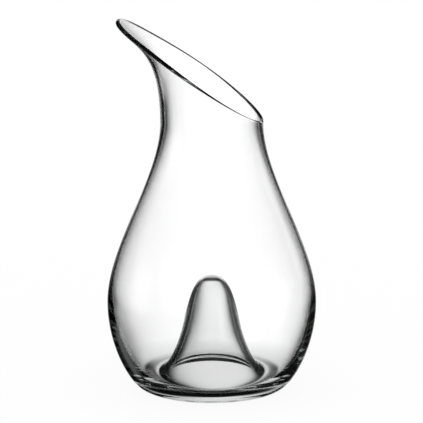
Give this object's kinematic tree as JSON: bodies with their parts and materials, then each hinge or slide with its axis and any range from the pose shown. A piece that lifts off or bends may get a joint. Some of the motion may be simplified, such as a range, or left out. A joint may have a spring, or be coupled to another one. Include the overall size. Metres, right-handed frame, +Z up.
{
  "type": "wine decanter",
  "caption": "Clear glass wine decanter with a pear-shaped bowl, a waisted neck, a flared mouth cut on the slant and a tall hollow punt in the base for the thumb.",
  "frame": {"origin": "on the axis of the glass, at the level of the flat foot ring that it stands on", "axes": "+Z up along the axis of the glass; the high pouring lip points to -X and the low side of the mouth to +X"},
  "size_m": [0.1404, 0.1404, 0.2523],
  "materials": {
    "clear_glass": "clear, fire-polished, smooth"
  },
  "bodies": {
    "root": {"base": "clear_glass", "punt": "clear_glass", "bowl": "clear_glass", "shoulder": "clear_glass", "neck": "clear_glass", "lip": "clear_glass"}
  },
  "joints": []
}
